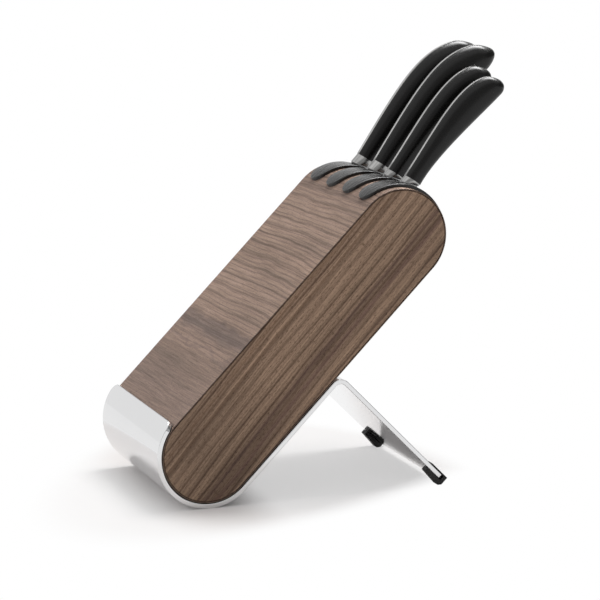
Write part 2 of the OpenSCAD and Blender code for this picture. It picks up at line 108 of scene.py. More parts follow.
def baked(piece):
    bpy.context.view_layer.update()
    evaluated = piece.evaluated_get(bpy.context.evaluated_depsgraph_get())
    mesh = bpy.data.meshes.new_from_object(evaluated)
    piece.modifiers.clear()
    piece.data = mesh
    return piece


def joined(piece, other, operation):
    change = piece.modifiers.new(operation.lower(), "BOOLEAN")
    change.operation = operation
    change.solver = "EXACT"
    change.object = other
    baked(piece)
    bpy.data.objects.remove(other)
    return piece


def softShaded(piece, sharpAngle, weighted=False):
    piece.data.polygons.foreach_set("use_smooth", [True] * len(piece.data.polygons))
    piece.data.set_sharp_from_angle(angle=math.radians(sharpAngle))
    if weighted:
        even = piece.modifiers.new("even normals", "WEIGHTED_NORMAL")
        even.keep_sharp = True
        baked(piece)
    return piece


def finished(piece, body, slot, material, *nodes):
    piece.data.materials.clear()
    piece.data.materials.append(material)
    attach(piece, body)
    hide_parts(*nodes)
    return piece


def boxMesh(name, low, high):
    xs, ys, zs = zip(low, high)
    points = [(x, y, z) for x in xs for y in ys for z in zs]
    faces = [(0, 1, 3, 2), (4, 6, 7, 5), (0, 4, 5, 1), (2, 3, 7, 6), (0, 2, 6, 4), (1, 5, 7, 3)]
    return cleanMesh(name, points, faces)


def together(name, meshes):
    # several closed shells as one mesh
    work = bmesh.new()
    for mesh in meshes:
        work.from_mesh(mesh)
    whole = bpy.data.meshes.new(name)
    work.to_mesh(whole)
    work.free()
    return whole


def moved(mesh, x, y, z):
    mesh.transform(Matrix.Translation((x, y, z)))
    return mesh


# Materials


def newMaterial(name):
    material = bpy.data.materials.new(name)
    material.use_nodes = True
    tree = material.node_tree
    return material, tree, tree.nodes["Principled BSDF"]


def addNode(tree, kind, settings=None, inputs=None):
    node = tree.nodes.new(kind)
    for key, value in (settings or {}).items():
        setattr(node, key, value)
    for key, value in (inputs or {}).items():
        if isinstance(value, bpy.types.NodeSocket):
            tree.links.new(value, node.inputs[key])
        else:
            node.inputs[key].default_value = value
    return node


def grey(level):
    return (level,) * 3


def rampOf(tree, factor, stops, smooth=False):
    node = addNode(tree, "ShaderNodeValToRGB", None, {"Fac": factor})
    ramp = node.color_ramp
    ramp.interpolation = "EASE" if smooth else "LINEAR"
    while len(ramp.elements) < len(stops):
        ramp.elements.new(0.5)
    for element, (position, colour) in zip(ramp.elements, stops):
        element.position = position
        element.color = (*colour, 1)
    return node.outputs["Color"]


def sums(tree, operation, a, b=0.0):
    return addNode(tree, "ShaderNodeMath", {"operation": operation}, {0: a, 1: b}).outputs[0]


def multiplied(tree, factor, a, b):
    # colour a times colour b, by a factor from none to all
    kind = {"data_type": "RGBA", "blend_type": "MULTIPLY"}
    return addNode(tree, "ShaderNodeMix", kind, {0: factor, 6: a, 7: b}).outputs[2]


def alongAxis(tree, where, axis):
    return addNode(tree, "ShaderNodeSeparateXYZ", None, {"Vector": where}).outputs[axis]


def blockSpace(tree, lean=0.0):
    # Object coordinates turned into the block's frame, in metres
    where = addNode(tree, "ShaderNodeTexCoord").outputs["Object"]
    return addNode(tree, "ShaderNodeMapping", {"vector_type": "TEXTURE"}, {
        "Vector": where,
        "Location": [v * mm for v in lowCentre],
        "Rotation": (0, -block["tilt"] - lean, 0),
    }).outputs["Vector"]


def noiseOf(tree, where, scale, offset, detail, roughness):
    space = addNode(tree, "ShaderNodeMapping", None, {
        "Vector": where, "Scale": scale, "Location": offset,
    }).outputs["Vector"]
    return addNode(tree, "ShaderNodeTexNoise", None, {
        "Vector": space, "Scale": 1.0, "Detail": detail, "Roughness": roughness,
    }).outputs["Fac"]


def bumped(tree, shader, height, distance, strength):
    node = addNode(tree, "ShaderNodeBump", None, {
        "Height": height, "Distance": distance, "Strength": strength,
    })
    tree.links.new(node.outputs["Normal"], shader.inputs["Normal"])


def zoneTone(tree, where, zone):
    # a darker or lighter stretch along one axis of the block, the same both ways from its zero
    place = sums(tree, "ABSOLUTE", alongAxis(tree, where, zone["axis"]))
    share = addNode(tree, "ShaderNodeMapRange", None, {
        "Value": place, "From Min": zone["from"], "From Max": zone["to"],
    }).outputs["Result"]
    return rampOf(tree, share, [(at, grey(level)) for at, level in zone["stops"]])


# What every walnut finish shares
woodGrain = {
    "warpScale": (2, 0.45),  # detail and roughness of each layer's noise
    "rippleScale": (2, 0.5),
    "bandScale": (3, 0.55),
    "shiftScale": (2, 0.5),
    "fibreScale": (3, 0.65),
    "poreScale": (2, 0.5),
    "noiseMiddle": 0.5,
    "depthAt": (0.36, 0.62),  # where in its noise a line goes from shallow to deep
    "bandsAt": (0.32, 0.5, 0.68),
    "fibreRamp": [(0.3, (0.62, 0.6, 0.58)), (0.7, grey(1.25))],
    "poreRamp": [(0.3, (0.4, 0.36, 0.34)), (0.45, grey(1.0)), (0.7, grey(1.12))],
    "roughRamp": [(0.2, 0.08), (0.8, -0.05)],  # added to a finish's own roughness
    "specular": 0.18,
    "relief": 0.00012,
    "reliefStrength": 0.3,
}


def walnut(look):
    # thin growth lines from a warped run across the grain, over broad tone bands, fibres and pores
    material, tree, shader = newMaterial(look["name"])
    wood = woodGrain
    where = addNode(tree, "ShaderNodeMapping", None, {
        "Vector": blockSpace(tree, look["lean"]), "Rotation": (0, 0, look["skew"]),
    }).outputs["Vector"]
    across = alongAxis(tree, where, look["acrossAxis"])

    def layer(name):
        return noiseOf(tree, where, look[name], look["seat"], *wood[name])

    warp, ripple = layer("warpScale"), layer("rippleScale")
    bands, shift = layer("bandScale"), layer("shiftScale")
    fibres, pores = layer("fibreScale"), layer("poreScale")
    run = sums(tree, "MULTIPLY", across, look["linesPerMetre"])
    for wave, size in ((warp, look["warp"]), (ripple, look["ripple"])):
        run = sums(tree, "ADD", run, sums(tree, "MULTIPLY", wave, size))
    lines = sums(tree, "FRACT", run)
    fine = sums(tree, "FRACT", sums(tree, "MULTIPLY", run, look["fineRatio"]))
    # each line has its own depth, and the grain lies calm at one end of the piece
    depth = rampOf(tree, shift, list(zip(wood["depthAt"], map(grey, look["lineShare"]))), True)
    calm = addNode(tree, "ShaderNodeMapRange", None, {
        "Value": across, "From Min": look["calm"][0], "From Max": look["calm"][1],
        "To Min": look["calmShare"], "To Max": 1.0,
    }).outputs["Result"]
    tones = (look["dark"], look["middle"], look["light"])
    tone = rampOf(tree, bands, list(zip(wood["bandsAt"], tones)), True)
    for factor, share, stops in (
        (lines, sums(tree, "MULTIPLY", depth, calm), look["lineRamp"]),
        (fine, sums(tree, "MULTIPLY", calm, look["fineShare"]), look["lineRamp"]),
        (fibres, look["fibreShare"], wood["fibreRamp"]),
        (pores, look["poreShare"], wood["poreRamp"]),
    ):
        tone = multiplied(tree, share, tone, rampOf(tree, factor, stops, True))
    for streak in look["streaks"]:
        # a dark or light streak along the grain that wanders a little; most are wood figure, one on the
        # band is painted shade
        wander, fray = (
            sums(tree, "MULTIPLY", sums(tree, "SUBTRACT", wave, wood["noiseMiddle"]), size)
            for wave, size in ((warp, streak["wander"]), (ripple, streak["fray"]))
        )
        place = sums(tree, "ADD", across, sums(tree, "ADD", wander, fray))
        away = sums(tree, "ABSOLUTE", sums(tree, "SUBTRACT", place, streak["at"]))
        stops = [(0.0, streak["tone"]), (1.0, grey(1.0))]
        mark = rampOf(tree, sums(tree, "DIVIDE", away, streak["half"]), stops, True)
        tone = multiplied(tree, 1.0, tone, mark)
    for zone in look["zones"]:
        tone = multiplied(tree, 1.0, tone, zoneTone(tree, blockSpace(tree), zone))
    tree.links.new(tone, shader.inputs["Base Color"])
    stops = [(at, grey(look["rough"] + more)) for at, more in wood["roughRamp"]]
    tree.links.new(rampOf(tree, fibres, stops), shader.inputs["Roughness"])
    shader.inputs["Specular IOR Level"].default_value = wood["specular"]
    bumped(tree, shader, fibres, wood["relief"], wood["reliefStrength"])
    return material


wrapLook = {
    "name": "walnutCross",
    "acrossAxis": 0,
    "lean": 0.0,
    "skew": math.radians(-1.0),
    "seat": (0.3, 1.7, 0.4),
    "linesPerMetre": 95.0,
    "fineRatio": 2.7,
    "warp": 2.0,
    "warpScale": (16, 7, 16),
    "ripple": 0.14,
    "rippleScale": (90, 40, 90),
    "bandScale": (26, 4, 26),
    "shiftScale": (60, 3, 60),
    "fibreScale": (1100, 28, 1100),
    "poreScale": (1900, 420, 1900),
    "dark": (0.248, 0.172, 0.132),
    "middle": (0.329, 0.228, 0.176),
    "light": (0.35, 0.244, 0.19),
    "lineRamp": [
        (0.0, (0.56, 0.54, 0.54)),
        (0.16, grey(0.92)),
        (0.55, (1.06, 1.06, 1.05)),
        (0.86, grey(0.96)),
        (1.0, (0.56, 0.54, 0.54)),
    ],
    "lineShare": (0.75, 1.0),
    "fineShare": 0.75,
    "fibreShare": 0.6,
    "poreShare": 0.5,
    "calm": (0.055, 0.12),
    "calmShare": 0.42,
    "rough": 0.5,
    # painted shade: the band's rounded edges darkened as the shadow in the seams against the side panels
    "zones": [{"axis": 1, "from": 0.0719, "to": 0.0723, "stops": [(0.0, 1.0), (1.0, 0.5)]}],
    "streaks": [
        {"at": 0.072, "half": 0.015, "wander": 0.03, "fray": 0.012, "tone": (0.56, 0.58, 0.63)},
        {"at": 0.079, "half": 0.0035, "wander": 0.03, "fray": 0.012, "tone": (0.74, 0.74, 0.78)},
        {"at": 0.057, "half": 0.003, "wander": 0.03, "fray": 0.014, "tone": (0.78, 0.78, 0.82)},
        {"at": 0.018, "half": 0.05, "wander": 0.03, "fray": 0.01, "tone": (0.8, 0.81, 0.85)},
        {"at": 0.15, "half": 0.024, "wander": 0.02, "fray": 0.006, "tone": (1.15, 1.14, 1.13)},
        # painted shade: the band darkened where it curves over the crown and lies under the liners
        {"at": 0.226, "half": 0.02, "wander": 0.01, "fray": 0.008, "tone": (0.76, 0.76, 0.78)},
    ],
}
panelLook = {
    "name": "walnutLong",
    "acrossAxis": 2,
    "lean": math.radians(3.0),
    "skew": 0.0,
    "seat": (2.3, 0.7, 1.4),
    "linesPerMetre": 130.0,
    "fineRatio": 3.2,
    "warp": 2.2,
    "warpScale": (3.4, 14, 14),
    "ripple": 0.25,
    "rippleScale": (22, 90, 90),
    "bandScale": (2.2, 75, 75),
    "shiftScale": (2.4, 120, 120),
    "fibreScale": (26, 1100, 1100),
    "poreScale": (420, 2200, 2200),
    "dark": (0.284, 0.192, 0.134),
    "middle": (0.349, 0.237, 0.165),
    "light": (0.399, 0.272, 0.191),
    "lineRamp": [
        (0.0, (0.4, 0.36, 0.35)),
        (0.22, (0.84, 0.83, 0.82)),
        (0.55, (1.1, 1.1, 1.09)),
        (0.82, (0.95, 0.94, 0.93)),
        (1.0, (0.4, 0.36, 0.35)),
    ],
    "lineShare": (0.5, 1.0),
    "fineShare": 0.36,
    "fibreShare": 0.56,
    "poreShare": 1.0,
    "calm": (-0.1, -0.09),
    "calmShare": 1.0,  # no calm end on the boards
    "rough": 0.5,
    "zones": [{"axis": 0, "from": 0.0, "to": 0.08, "stops": [(0.0, 0.73), (0.4, 0.84), (1.0, 1.0)]}],
    "streaks": [
        {"at": -0.0275, "half": 0.0034, "wander": 0.01, "fray": 0.003, "tone": (0.52, 0.47, 0.52)},
        {"at": -0.0208, "half": 0.003, "wander": 0.01, "fray": 0.003, "tone": (0.5, 0.46, 0.5)},
        {"at": 0.0163, "half": 0.0022, "wander": 0.012, "fray": 0.002, "tone": (0.66, 0.62, 0.6)},
        {"at": 0.0252, "half": 0.003, "wander": 0.012, "fray": 0.002, "tone": (0.72, 0.68, 0.66)},
    ],
}
coreLook = dict(
    panelLook, name="walnutCore", lean=0.0, seat=(5.1, 3.2, 0.9), streaks=[], zones=[],
    dark=(0.13, 0.09, 0.065), middle=(0.21, 0.15, 0.11), light=(0.27, 0.2, 0.15),
)
walnutCross = walnut(wrapLook)
walnutLong = walnut(panelLook)
walnutCore = walnut(coreLook)

# What every speckled finish has, unless it says otherwise
speckle = {
    "detail": 4,
    "roughness": 0.6,  # of the noise
    "from": 0.3,
    "to": 0.7,
    "roughSpread": 0.15,
    "metal": 0.0,
    "specular": 0.5,
    "relief": 0.0,
    "reliefStrength": 0.5,
    "zones": [],
}


def speckled(name, **own):
    # one tone with fine mottling in colour, gloss and surface
    look = {**speckle, **own}
    material, tree, shader = newMaterial(name)
    where = blockSpace(tree)
    grain = noiseOf(tree, where, look["grain"], (0, 0, 0), look["detail"], look["roughness"])

    def spreadOver(colour, spread):
        low, high = (tuple(v * (1 + way * spread) for v in colour) for way in (-1, 1))
        return rampOf(tree, grain, [(look["from"], low), (look["to"], high)])

    tone = spreadOver(look["tone"], look["spread"])
    for zone in look["zones"]:
        tone = multiplied(tree, 1.0, tone, zoneTone(tree, where, zone))
    tree.links.new(tone, shader.inputs["Base Color"])
    rough = spreadOver(grey(look["rough"]), look["roughSpread"])
    tree.links.new(rough, shader.inputs["Roughness"])
    shader.inputs["Metallic"].default_value = look["metal"]
    shader.inputs["Specular IOR Level"].default_value = look["specular"]
    if look["relief"]:
        bumped(tree, shader, grain, look["relief"], look["reliefStrength"])
    return material


polishedSteel = speckled(
    "polishedSteel", tone=(0.74, 0.74, 0.745), spread=0.02, rough=0.07, metal=1.0, grain=(9, 9, 9),
)
bolsterShade = {
    "axis": 0, "from": 0.253, "to": 0.271, "stops": [(0.0, 1.0), (0.15, 0.56), (0.7, 0.56), (0.85, 1.0)],
}
bladeSteel = speckled(
    "bladeSteel", tone=(0.66, 0.655, 0.645), spread=0.24, rough=0.22, roughSpread=0.05, metal=1.0,
    grain=(18, 620, 620), zones=[bolsterShade],
)
screwSteel = speckled(
    "screwSteel", tone=(0.6, 0.6, 0.61), spread=0.06, rough=0.3, metal=1.0, grain=(400, 400, 400),
)
magnetNickel = speckled(
    "magnetNickel", tone=(0.7, 0.69, 0.66), spread=0.05, rough=0.18, metal=1.0, grain=(150, 150, 150),
)
insertBrass = speckled(
    "insertBrass", tone=(0.72, 0.53, 0.25), spread=0.06, rough=0.3, metal=1.0, grain=(300, 300, 300),
)
blackPad = speckled(
    "blackPad", tone=grey(0.012), spread=0.2, rough=0.8, specular=0.2, grain=(600, 600, 600),
)
footRubber = speckled(
    "footRubber", tone=(0.014, 0.014, 0.0135), spread=0.2, rough=0.55, specular=0.3,
    grain=(900, 900, 900), relief=0.00002,
)
linerPlastic = speckled(
    "linerPlastic", tone=(0.012, 0.012, 0.0118), spread=0.45, rough=0.26, specular=0.45,
    grain=(40, 420, 40), relief=0.0006,
)
handlePlastic = speckled(
    "handlePlastic", tone=(0.0045, 0.0043, 0.004), spread=0.25, rough=0.27, roughSpread=0.02,
    specular=0.3, grain=(1000, 1000, 1000),
)
print("materials ready")

# Stand: one sheet along a path from the lip round the heel, up the seat, over the bend and down the leg
stand = {
    "half": 1.8,  # of the sheet's thickness
    "middle": 39.5,  # radius of the cradle at mid-thickness
    "lipSetback": 1.0,
    "lipCorner": 8.0,
    "bendX": 104.4,
    "bendZ": -46.3,
    "bendMiddle": 6.8,
    "legDrop": 116.71,
    "legLean": math.radians(0.8),
    "footHalf": 68.0,
    "footCorner": 4.0,
    "edge": 0.55,
    "edgeLimit": 0.98,  # the rounding stays under this share of the half thickness
    "edgeSteps": 4,
    "lipSteps": 14,
    "cradleSteps": 70,
    "seatSteps": 20,
    "bendSteps": 24,
    "legSteps": 14,
    "footSteps": 10,
    "screwX": (28.0, 84.0),
    "screwY": 35.0,
    "sharp": 40,
}
hole = {"head": 5.1, "shank": 2.7, "sink": 2.6, "before": 6.0, "beyond": 12.0, "sides": 48}
screwPlaces = [(x, side * stand["screwY"]) for x in stand["screwX"] for side in (-1, 1)]


def eased(distance, radius):
    # how far a rounded edge of that radius still falls short at a distance from its end
    rest = min(radius, max(0.0, radius - distance))
    return radius - math.sqrt(radius * radius - rest * rest)


def standStations():
    # place, outward direction, half width and half thickness of the sheet along its path
    s = stand
    first = math.asin(s["lipSetback"] / s["middle"])
    rimTurns = [quarterTurn * i / s["edgeSteps"] for i in range(s["edgeSteps"] + 1)]
    rim = [s["edge"] * (1 - math.cos(turn)) for turn in rimTurns]
    reach = s["lipCorner"] - s["edge"]
    corner = [s["edge"] + reach * (i / s["lipSteps"]) ** 2 for i in range(1, s["lipSteps"] + 1)]
    turns = [first + d / s["middle"] for d in rim + corner]
    rest = math.pi - turns[-1]
    turns += [turns[-1] + rest * i / s["cradleSteps"] for i in range(1, s["cradleSteps"] + 1)]
    stations = []
    for turn in turns:
        x, z = -s["middle"] * math.sin(turn), s["middle"] * math.cos(turn)
        inset = eased(s["middle"] * (turn - first), s["edge"])
        cut = eased(-s["lipSetback"] - x, s["lipCorner"]) if turn < quarterTurn else 0.0
        half = halfWidth - cut - inset
        stations.append((x, z, -math.sin(turn), math.cos(turn), half, s["half"] - inset))
    for i in range(1, s["seatSteps"]):
        stations.append((s["bendX"] * i / s["seatSteps"], -s["middle"], 0, -1, halfWidth, s["half"]))
    for i in range(s["bendSteps"] + 1):
        turn = quarterTurn * i / s["bendSteps"]
        x, z = math.sin(turn), math.cos(turn)
        place = (s["bendX"] + s["bendMiddle"] * x, s["bendZ"] + s["bendMiddle"] * z)
        stations.append((*place, -x, -z, halfWidth, s["half"]))
    lean = s["legLean"]
    drops = [s["legDrop"] * i / s["legSteps"] for i in range(1, s["legSteps"])]
    ends = [s["footCorner"] * (i / s["footSteps"]) ** 2 for i in range(1, s["footSteps"] + 1)]
    drops += [s["legDrop"] - d for d in sorted({*ends, *rim[:-1]}, reverse=True)]
    for drop in drops:
        left = s["legDrop"] - drop
        inset = eased(left, s["edge"])
        half = halfWidth + (s["footHalf"] - halfWidth) * drop / s["legDrop"]
        half -= eased(left, s["footCorner"]) + inset
        place = (s["bendX"] + s["bendMiddle"] - drop * math.tan(lean), s["bendZ"] - drop)
        stations.append((*place, -math.cos(lean), math.sin(lean), half, s["half"] - inset))
    return stations


def sheetRing(station):
    x, z, nx, nz, half, thick = station
    edge = min(stand["edge"], thick * stand["edgeLimit"])
    ring = []
    for quarter, (sy, sv) in enumerate(((1, 1), (-1, 1), (-1, -1), (1, -1))):
        for i in range(stand["edgeSteps"] + 1):
            turn = quarterTurn * (quarter + i / stand["edgeSteps"])
            y = sy * (half - edge) + edge * math.cos(turn)
            v = sv * (thick - edge) + edge * math.sin(turn)
            ring.append((x + nx * v, y, z + nz * v))
    return ring


def bitMesh(side):
    # a closed drill bit round Z, from the (radius, height) pairs of its side
    profile = [(0.0, side[0][1]), *side, (0.0, side[-1][1])]
    return cleanMesh("bit", *ringLoft(turned(profile, hole["sides"]), False))


def drilled(piece, side, height):
    bits = [moved(bitMesh(side), x, y, height) for x, y in screwPlaces]
    return joined(piece, shown("bits", together("bits", bits)), "DIFFERENCE")


def sheetPiece():
    rings = [sheetRing(station) for station in standStations()]
    sheet = shown("standSheet", cleanMesh("standSheet", *ringLoft(rings)))
    drilled(sheet, [
        (hole["head"], -hole["before"]), (hole["head"], 0.0),
        (hole["shank"], hole["sink"]), (hole["shank"], hole["beyond"]),
    ], -block["standOut"])
    sheet.data.transform(toPart)
    softShaded(sheet, stand["sharp"], True)
    return finished(sheet, "block", "polished_steel", polishedSteel, "stand_sheet")


sheet = sheetPiece()
print("stand sheet:", len(sheet.data.polygons), "faces")

# Geometry Nodes


def newTree(name, wanted):
    tree = bpy.data.node_groups.new(name, "GeometryNodeTree")
    tree.interface.new_socket("Geometry", in_out="INPUT", socket_type="NodeSocketGeometry")
    for label, kind in wanted:
        tree.interface.new_socket(label, in_out="INPUT", socket_type=kind)
    tree.interface.new_socket("Geometry", in_out="OUTPUT", socket_type="NodeSocketGeometry")
    return tree, tree.nodes.new("NodeGroupInput").outputs, tree.nodes.new("NodeGroupOutput").inputs


def closeTree(tree, geometry, entry, out):
    real = addNode(tree, "GeometryNodeRealizeInstances", None, {"Geometry": geometry})
    coat = addNode(tree, "GeometryNodeSetMaterial", None, {
        "Geometry": real.outputs["Geometry"], "Material": entry["Material"],
    })
    tree.links.new(coat.outputs["Geometry"], out["Geometry"])


def grown(piece, tree, values):
    # sets the named inputs by their identifiers, then keeps the plain mesh
    change = piece.modifiers.new(tree.name, "NODES")
    change.node_group = tree
    for item in tree.interface.items_tree:
        if item.item_type == "SOCKET" and item.in_out == "INPUT" and item.name in values:
            change[item.identifier] = values[item.name]
    return baked(piece)


def bandTree():
    # a flat band with rounded edges that follows a closed path
    tree, entry, out = newTree("bandAlongPath", [
        ("Band width", "NodeSocketFloat"),
        ("Band thickness", "NodeSocketFloat"),
        ("Edge radius", "NodeSocketFloat"),
        ("Edge steps", "NodeSocketInt"),
        ("Material", "NodeSocketMaterial"),
    ])
    path = addNode(tree, "GeometryNodeMeshToCurve", None, {"Mesh": entry["Geometry"]})
    upright = addNode(tree, "GeometryNodeSetCurveNormal", {"mode": "Z_UP"}, {
        "Curve": path.outputs["Curve"],
    })
    section = addNode(tree, "GeometryNodeCurvePrimitiveQuadrilateral", None, {
        "Width": entry["Band thickness"], "Height": entry["Band width"],
    })
    rounded = addNode(tree, "GeometryNodeFilletCurve", {"mode": "POLY"}, {
        "Curve": section.outputs["Curve"], "Radius": entry["Edge radius"], "Count": entry["Edge steps"],
    })
    sweep = addNode(tree, "GeometryNodeCurveToMesh", None, {
        "Curve": upright.outputs["Curve"], "Profile Curve": rounded.outputs["Curve"],
    })
    closeTree(tree, sweep.outputs["Mesh"], entry, out)
    return tree


def rowTree():
    # copies of a piece on a grid of places
    tree, entry, out = newTree("piecesOnGrid", [
        ("Run", "NodeSocketFloat"),
        ("Spread", "NodeSocketFloat"),
        ("Along", "NodeSocketInt"),
        ("Across", "NodeSocketInt"),
        ("Material", "NodeSocketMaterial"),
    ])
    grid = addNode(tree, "GeometryNodeMeshGrid", None, {
        "Size X": entry["Run"], "Size Y": entry["Spread"],
        "Vertices X": entry["Along"], "Vertices Y": entry["Across"],
    })
    copies = addNode(tree, "GeometryNodeInstanceOnPoints", None, {
        "Points": grid.outputs["Mesh"], "Instance": entry["Geometry"],
    })
    closeTree(tree, copies.outputs["Instances"], entry, out)
    return tree


# Wrap: a band bent round the block, with the slots sawn through its crown
wrap = {
    "middle": 36.6,
    "thick": 0.8,
    "edge": 0.3,
    "edgeSteps": 4,
    "arcSteps": 64,
    "runSteps": 24,
    "sawReach": 60.0,
    "sharp": 35,
}


def stadium(radius, arcSteps, runSteps):
    # two half circles joined by straight runs
    run = block["run"]
    turns = [math.pi * i / arcSteps for i in range(arcSteps + 1)]
    arc = [(radius * math.sin(turn), radius * math.cos(turn)) for turn in turns]
    loop = [(run + x, z) for x, z in arc]
    loop += [(run * (1 - i / runSteps), -radius) for i in range(1, runSteps)]
    loop += [(-x, -z) for x, z in arc]
    loop += [(run * i / runSteps, radius) for i in range(1, runSteps)]
    return loop


def bandPiece():
    loop = stadium(wrap["middle"], wrap["arcSteps"], wrap["runSteps"])
    links = [(i, (i + 1) % len(loop)) for i in range(len(loop))]
    mesh = bpy.data.meshes.new("walnutBand")
    mesh.from_pydata([(x, z, 0) for x, z in loop], links, [])
    band = shown("walnutBand", mesh)
    grown(band, bandTree(), {
        "Band width": block["width"], "Band thickness": wrap["thick"],
        "Edge radius": wrap["edge"], "Edge steps": wrap["edgeSteps"], "Material": walnutCross,
    })
    band.data.transform(Matrix.Rotation(quarterTurn, 4, "X"))
    start, side, tall = block["run"], block["slotWidth"] / 2, block["slotHeight"] / 2
    saws = [
        boxMesh("saw", (start, y - side, -tall), (start + wrap["sawReach"], y + side, tall))
        for y in slotMiddles
    ]
    joined(band, shown("saws", together("saws", saws)), "DIFFERENCE")
    drilled(band, [(hole["shank"], -hole["before"]), (hole["shank"], hole["before"])], -block["radius"])
    band.data.transform(toPart)
    softShaded(band, wrap["sharp"], True)
    return finished(band, "block", "walnut_cross", walnutCross, "walnut_wrap")


band = bandPiece()
print("walnut band:", len(band.data.polygons), "faces")

# Side panels: round-ended boards with a softly broken outer edge
panel = {
    "radius": 35.75,
    "thick": 17.0,
    "edge": 0.5,
    "edgeSteps": 5,
    "arcSteps": 64,
    "runSteps": 12,
    "sharp": 30,
}
magnet = {"bore": 6.1, "depth": 4.1, "before": 2.0, "x": (208.0, 178.0), "z": 10.0}


def panelPiece(name, side, node):
    p = panel
    inner = halfWidth - p["thick"]
    steps = [(p["radius"], inner)]
    for i in range(p["edgeSteps"] + 1):
        turn = quarterTurn * i / p["edgeSteps"]
        radius = p["radius"] - p["edge"] * (1 - math.cos(turn))
        steps.append((radius, halfWidth - p["edge"] * (1 - math.sin(turn))))
    rings = [[(x, side * y, z) for x, z in stadium(r, p["arcSteps"], p["runSteps"])] for r, y in steps]
    piece = shown(name, cleanMesh(name, *ringLoft(rings)))
    if side > 0:
        # the first slot's magnets sit in the far panel
        bits = []
        for x in magnet["x"]:
            bit = bitMesh([(magnet["bore"], -magnet["before"]), (magnet["bore"], magnet["depth"])])
            bit.transform(Matrix.Rotation(-quarterTurn, 4, "X"))
            bits.append(moved(bit, x, inner, magnet["z"]))
        joined(piece, shown("bits", together("bits", bits)), "DIFFERENCE")
    piece.data.transform(toPart)
    softShaded(piece, p["sharp"], True)
    return finished(piece, "block", "walnut_long", walnutLong, node)


panelPiece("sidePanelNear", -1, "side_panel_near")
panelPiece("sidePanelFar", 1, "side_panel_far")
print("side panels ready")

# Slot liners: a raised tongue over the crown, with a spigot and the blade slit
liner = {
    "base": 37.15,
    "baseShare": 0.6,  # a ring between the middle and the rim of the base
    "crown": 39.9,
    "half": 11.0,
    "edge": 0.6,
    "edgeSteps": 6,
    "dome": 0.3,
    "domeShares": (0.8, 0.6, 0.4, 0.2, 0.0),
    "tipShort": 1.5,  # how far above the flat strips the tips end
    "sideSteps": 64,
    "tipSteps": 20,
    "spigotHalf": (2.9, 24.9),
    "spigotFoot": 6.4,
    "spigotTop": 38.5,
    "spigotSteps": 16,
    "slitHalf": (1.6, 23.6),
    "slitRun": (-10.0, 60.0),
    "sharp": 32,
}
tipTurn = math.acos(liner["tipShort"] / block["radius"]) - liner["half"] / block["radius"]


def tongueRing(half, radius):
    # a strip with round tips, bent over the crown at that radius
    flat = []
    for way in (1, -1):
        for i in range(liner["sideSteps"] + 1):
            flat.append((way * tipTurn * (1 - 2 * i / liner["sideSteps"]), 0.0, way * half))
        for i in range(1, liner["tipSteps"]):
            turn = math.pi * i / liner["tipSteps"]
            flat.append((-way * tipTurn, -way * half * math.sin(turn), way * half * math.cos(turn)))
    ring = []
    for angle, beyond, y in flat:
        turn = angle + math.asin(beyond / radius)
        ring.append((radius * math.cos(turn), y, radius * math.sin(turn)))
    return ring


def linerPiece():
    g = liner
    steps = [(0.0, g["base"]), (g["half"] * g["baseShare"], g["base"]), (g["half"], g["base"])]
    for i in range(g["edgeSteps"] + 1):
        turn = quarterTurn * i / g["edgeSteps"]
        inset = g["edge"] * (1 - math.cos(turn))
        steps.append((g["half"] - inset, g["crown"] - g["dome"] - g["edge"] * (1 - math.sin(turn))))
    inner = g["half"] - g["edge"]
    for share in g["domeShares"]:
        steps.append((inner * share, g["crown"] - g["dome"] * share * share))
    rings = [tongueRing(half, radius) for half, radius in steps]
    tongue = shown("slotLiners", cleanMesh("slotLiners", *ringLoft(rings, False)))
    y, z = g["spigotHalf"]
    top = g["spigotTop"]
    reach = math.asin(z / top)
    turns = [reach * (i / g["spigotSteps"] - 1) for i in range(2 * g["spigotSteps"] + 1)]
    outline = [(g["spigotFoot"], z), (g["spigotFoot"], -z)]
    outline += [(top * math.cos(turn), top * math.sin(turn)) for turn in turns]
    rings = [[(px, side, pz) for px, pz in outline] for side in (-y, y)]
    joined(tongue, shown("spigot", cleanMesh("spigot", *ringLoft(rings))), "UNION")
    y, z = g["slitHalf"]
    low, high = g["slitRun"]
    joined(tongue, shown("slit", boxMesh("slit", (low, -y, -z), (high, y, z))), "DIFFERENCE")
    grown(tongue, rowTree(), {
        "Run": 0.0, "Spread": (block["slots"] - 1) * block["slotPitch"],
        "Along": 1, "Across": block["slots"], "Material": linerPlastic,
    })
    tongue.data.transform(topCentre)
    softShaded(tongue, g["sharp"], True)
    nodes = ["slot_liner_%d" % k for k in slotNumbers]
    return finished(tongue, "block", "liner_plastic", linerPlastic, *nodes)


linerPiece()
print("slot liners ready")

# Stand screws: countersunk heads with a hexagon socket
screw = {
    "head": 5.0,
    "rim": 0.2,
    "headHeight": 2.6,
    "shank": 2.5,
    "length": 18.0,
    "tip": 0.5,
    "socket": 1.5,
    "socketDepth": 1.8,
    "sides": 48,
    "sharp": 30,
}


